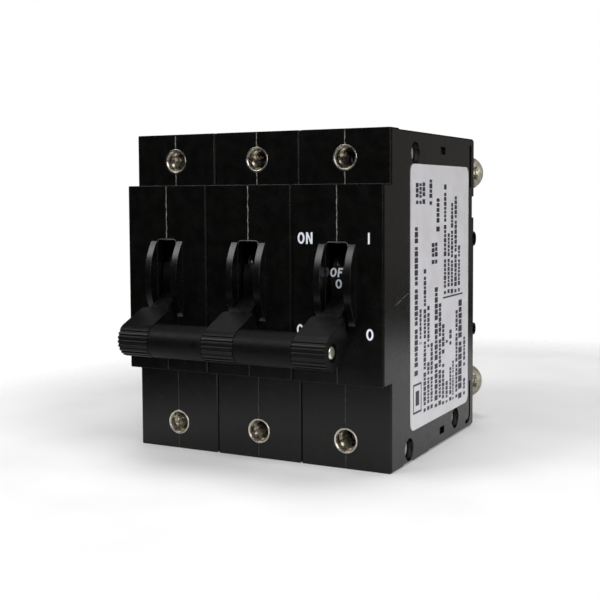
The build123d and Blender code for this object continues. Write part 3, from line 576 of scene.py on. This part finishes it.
def bead(bm, path, radius, sides=8):
    """Round bead of plastic along a path of points."""
    rings = []
    for i, point in enumerate(path):
        along = path[min(i + 1, len(path) - 1)] - path[max(i - 1, 0)]
        turn = along.to_track_quat("Z", "Y")
        ring = [turn @ Vector((radius * cos(tau * j / sides), radius * sin(tau * j / sides), 0))
                for j in range(sides)]
        rings.append([bm.verts.new(point + offset) for offset in ring])
    ring_faces(bm, rings)


def build_core_springs():
    """Springs over the cores, wound with closed ends."""
    wire, turns = SPRING_WIRE_R, SPRING_TURNS
    steps = 24
    for k in POLES:
        low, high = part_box(f"core_spring_{k}")
        centre = (low + high) / 2
        radius = (high.x - low.x) / 2 - wire
        free = high.z - low.z

        def draw(bm, centre=centre, radius=radius, base=low.z + wire, climb=free - 2 * wire):
            path = []
            for i in range(turns * steps + 1):
                wound = i / steps
                open_share = min(1, max(0, (wound - 1) / (turns - 2)))
                closed = min(wound, 1) + max(0, wound - turns + 1)
                z = base + 2 * wire * closed + (climb - 4 * wire) * open_share
                around = Matrix.Rotation(tau * wound, 3, "Z") @ Vector((radius, 0, 0))
                path.append(Vector((centre.x + around.x, centre.y + around.y, z)))
            bead(bm, path, wire)
        made = piece(f"core_coil_{k}", draw, "steel", "casing", smooth=60)
        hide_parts(f"core_spring_{k}")
        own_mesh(made)


def build_slot_lips():
    """Rounded lip over the top of each handle slot, from one cheek to the other."""
    half, corner, leg, top = 2.32, 0.7, 2.2, HANDLE_AXIS.z / MM + 7.95
    outline = [(-half, top - leg)]
    outline += [(-half + corner - corner * cos(a), top - corner + corner * sin(a))
                for a in (0, pi / 6, pi / 3, pi / 2)]
    outline += [(-x, z) for x, z in reversed(outline)]

    def draw(bm):
        for x in POLE_X.values():
            path = [Vector((x + u * MM, BOSS_Y, v * MM)) for u, v in outline]
            bead(bm, path, LIP_R)
    piece("slot_lips", draw, "case_edge", "casing", smooth=70)


def build_scratch():
    """Fine pale scratch on the side face, in front of the label."""
    marks = [(1.4, -0.75), (2.4, -0.62), (3.6, -0.35), (5.2, 0.15), (6.9, 0.62), (8.4, 0.95)]

    def draw(bm):
        path = [Vector((CAD_BOX[1].x - 0.12 * MM, y * MM, z * MM)) for y, z in marks]
        bead(bm, path, SCRATCH_R, sides=5)
    piece("side_scratch", draw, "seam_flash", "casing", smooth=60)


def build_seams():
    """Flash on the seam between the two halves of each pole: pale above, hardly seen below."""
    slot = (HANDLE_AXIS.z - SLOT_REACH, HANDLE_AXIS.z + SLOT_REACH)
    seat_gap = INSERT_R + 0.05 * MM
    boss_gap, end_gap = 0.2 * MM, 0.3 * MM
    lower = [
        (SEAT_Y, -CASE_TOP + end_gap, -INSERT_Z - seat_gap),
        (SEAT_Y, -INSERT_Z + seat_gap, BOSS_Z[0]),
        (BOSS_Y, BOSS_Z[0] + boss_gap, slot[0]),
    ]
    upper = [
        (BOSS_Y, slot[1], BOSS_Z[1] - boss_gap),
        (SEAT_Y, BOSS_Z[1], INSERT_Z - seat_gap),
        (SEAT_Y, INSERT_Z + seat_gap, CASE_TOP - end_gap),
    ]
    lines = (("seam_flash", upper, "seam_flash"), ("seam_line", lower, "case_edge"))
    for k in POLES:
        for name, runs, finish in lines:
            def draw(bm, k=k, runs=runs):
                for order, (y, low, high) in enumerate(runs):
                    flash_line(bm, POLE_X[k], y, low, high, order + 7 * k)
            piece(f"{name}_{k}", draw, finish, "casing", smooth=60)


# ======================================================================================
# studio
# ======================================================================================
def softbox(name, place, size, power, colour):
    """Square area light that faces the object."""
    data = bpy.data.lights.new(name, "AREA")
    data.shape = "SQUARE"
    data.size = size
    data.energy = power
    data.color = colour
    lamp = bpy.data.objects.new(name, data)
    lamp.location = place
    lamp.rotation_euler = (LIGHTS_AIM - Vector(place)).to_track_quat("-Z", "Y").to_euler()
    bpy.context.scene.collection.objects.link(lamp)


def fading_paper():
    """White paper that fades out round the object into the white surround."""
    material = surface("floor_paper", (0.80, 0.80, 0.80), (0.84, 0.84, 0.84),
                       (0.7, 0.8), tone_scale=40, grain_scale=900, grain=0.05)
    tree = material.node_tree
    place = node(tree, "ShaderNodeTexCoord")
    distance = node(tree, "ShaderNodeVectorMath", operation="LENGTH")
    tree.links.new(place.outputs["Object"], distance.inputs[0])
    cover = spread(tree, distance.outputs["Value"], 1.0, 0.0, *PAPER_FADE)
    tree.links.new(cover, tree.nodes["Principled BSDF"].inputs["Alpha"])
    return material


def build_studio():
    """Pale floor, white surround and the soft lights."""
    bm = bmesh.new()
    bmesh.ops.create_circle(bm, cap_ends=True, radius=PAPER_FADE[1] * 1.1, segments=96)
    mesh = bpy.data.meshes.new("floor")
    bm.to_mesh(mesh)
    bm.free()
    mesh.materials.append(fading_paper())
    floor = bpy.data.objects.new("floor", mesh)
    floor.location = (*PAPER_CENTRE, FLOOR_Z)
    bpy.context.scene.collection.objects.link(floor)
    for name, light in SOFT_LIGHTS.items():
        softbox(name, *light)
    world = bpy.data.worlds.new("studio")
    bpy.context.scene.world = world
    world.use_nodes = True
    tree = world.node_tree
    back = tree.nodes["Background"]
    back.inputs["Color"].default_value = (1, 1, 1, 1)
    seen = node(tree, "ShaderNodeLightPath")
    strength = spread(tree, seen.outputs["Is Camera Ray"], SURROUND_LIGHT, SURROUND_SEEN, 0, 1)
    tree.links.new(strength, back.inputs["Strength"])
    bpy.context.scene.view_settings.view_transform = "Standard"


def build_camera():
    """Camera in front and to the right, a little above the middle."""
    data = bpy.data.cameras.new("camera")
    data.lens = CAMERA_LENS
    data.sensor_width = 36
    data.shift_y = CAMERA_SHIFT_Y
    data.clip_start = 1 * MM
    camera = bpy.data.objects.new("camera", data)
    turn = Matrix.Rotation(CAMERA_AZIMUTH, 4, "Z") @ Matrix.Rotation(pi / 2 - CAMERA_DOWN, 4, "X")
    roll = Matrix.Rotation(CAMERA_ROLL, 4, "Z")
    camera.matrix_world = Matrix.Translation(CAMERA_PLACE) @ turn @ roll
    bpy.context.scene.collection.objects.link(camera)
    bpy.context.scene.camera = camera


MATERIALS = make_materials()
dress_nodes()
print_boss()
print_drum()
print_label()
build_inserts()
build_seams()
build_slot_lips()
build_scratch()
build_core_springs()
build_studio()
build_camera()
